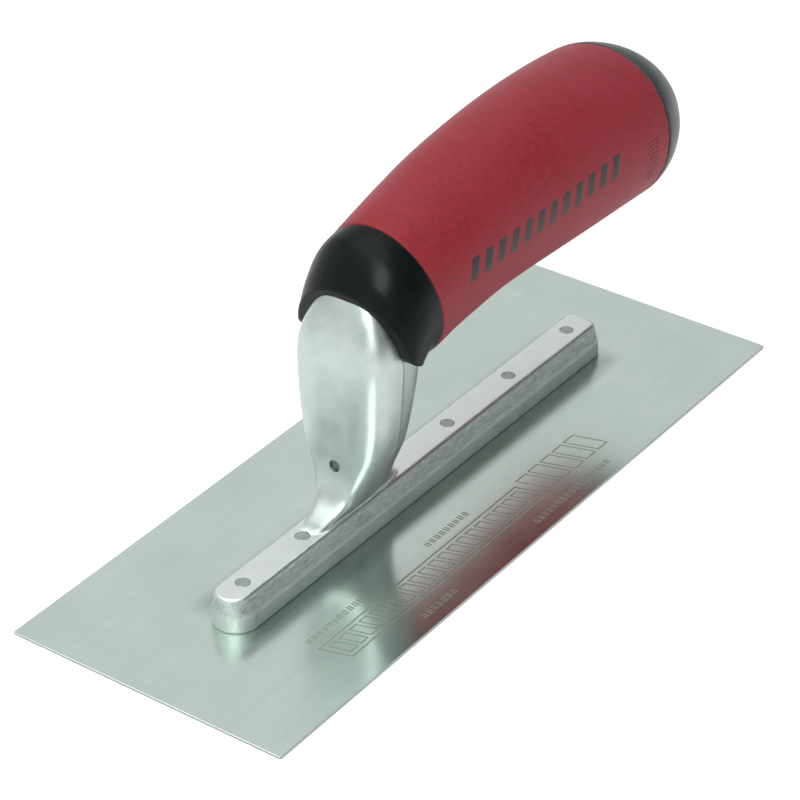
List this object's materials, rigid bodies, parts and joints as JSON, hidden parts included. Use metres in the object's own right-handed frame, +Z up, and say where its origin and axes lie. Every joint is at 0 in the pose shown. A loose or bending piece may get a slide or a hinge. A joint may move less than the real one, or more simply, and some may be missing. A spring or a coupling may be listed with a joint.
{
  "type": "finishing trowel",
  "caption": "Small rectangular finishing trowel: a flat steel blade riveted under a cast bar, whose neck rises into a moulded handle with a soft grip.",
  "frame": {"origin": "centre of the blade's underside", "axes": "+X along the blade, towards the butt end of the handle; +Y across the blade; +Z up from the blade's underside"},
  "size_m": [0.2032, 0.0762, 0.0866],
  "materials": {
    "stainless": "satin stainless sheet, finely ground, soft reflections",
    "cast_aluminium": "satin cast aluminium, as-cast sides and a ground top",
    "rivet_steel": "flush steel, ground level with the casting",
    "zinc_steel": "zinc-plated steel",
    "black_plastic": "satin black moulded plastic",
    "slate_plastic": "dark slate moulded plastic with a light grain",
    "core_plastic": "dark structural plastic",
    "red_grip": "dusty crimson soft-touch rubber, matt"
  },
  "bodies": {
    "root": {"blade": "stainless", "mounting": "cast_aluminium", "rivet_1": "rivet_steel", "rivet_2": "rivet_steel", "rivet_3": "rivet_steel", "rivet_4": "rivet_steel", "rivet_5": "rivet_steel", "neck_pin": "rivet_steel", "front_collar": "black_plastic", "handle_core": "core_plastic", "grip_sleeve": "red_grip", "end_cap": "slate_plastic", "handle_bolt": "zinc_steel", "bolt_washer": "zinc_steel"}
  },
  "joints": []
}
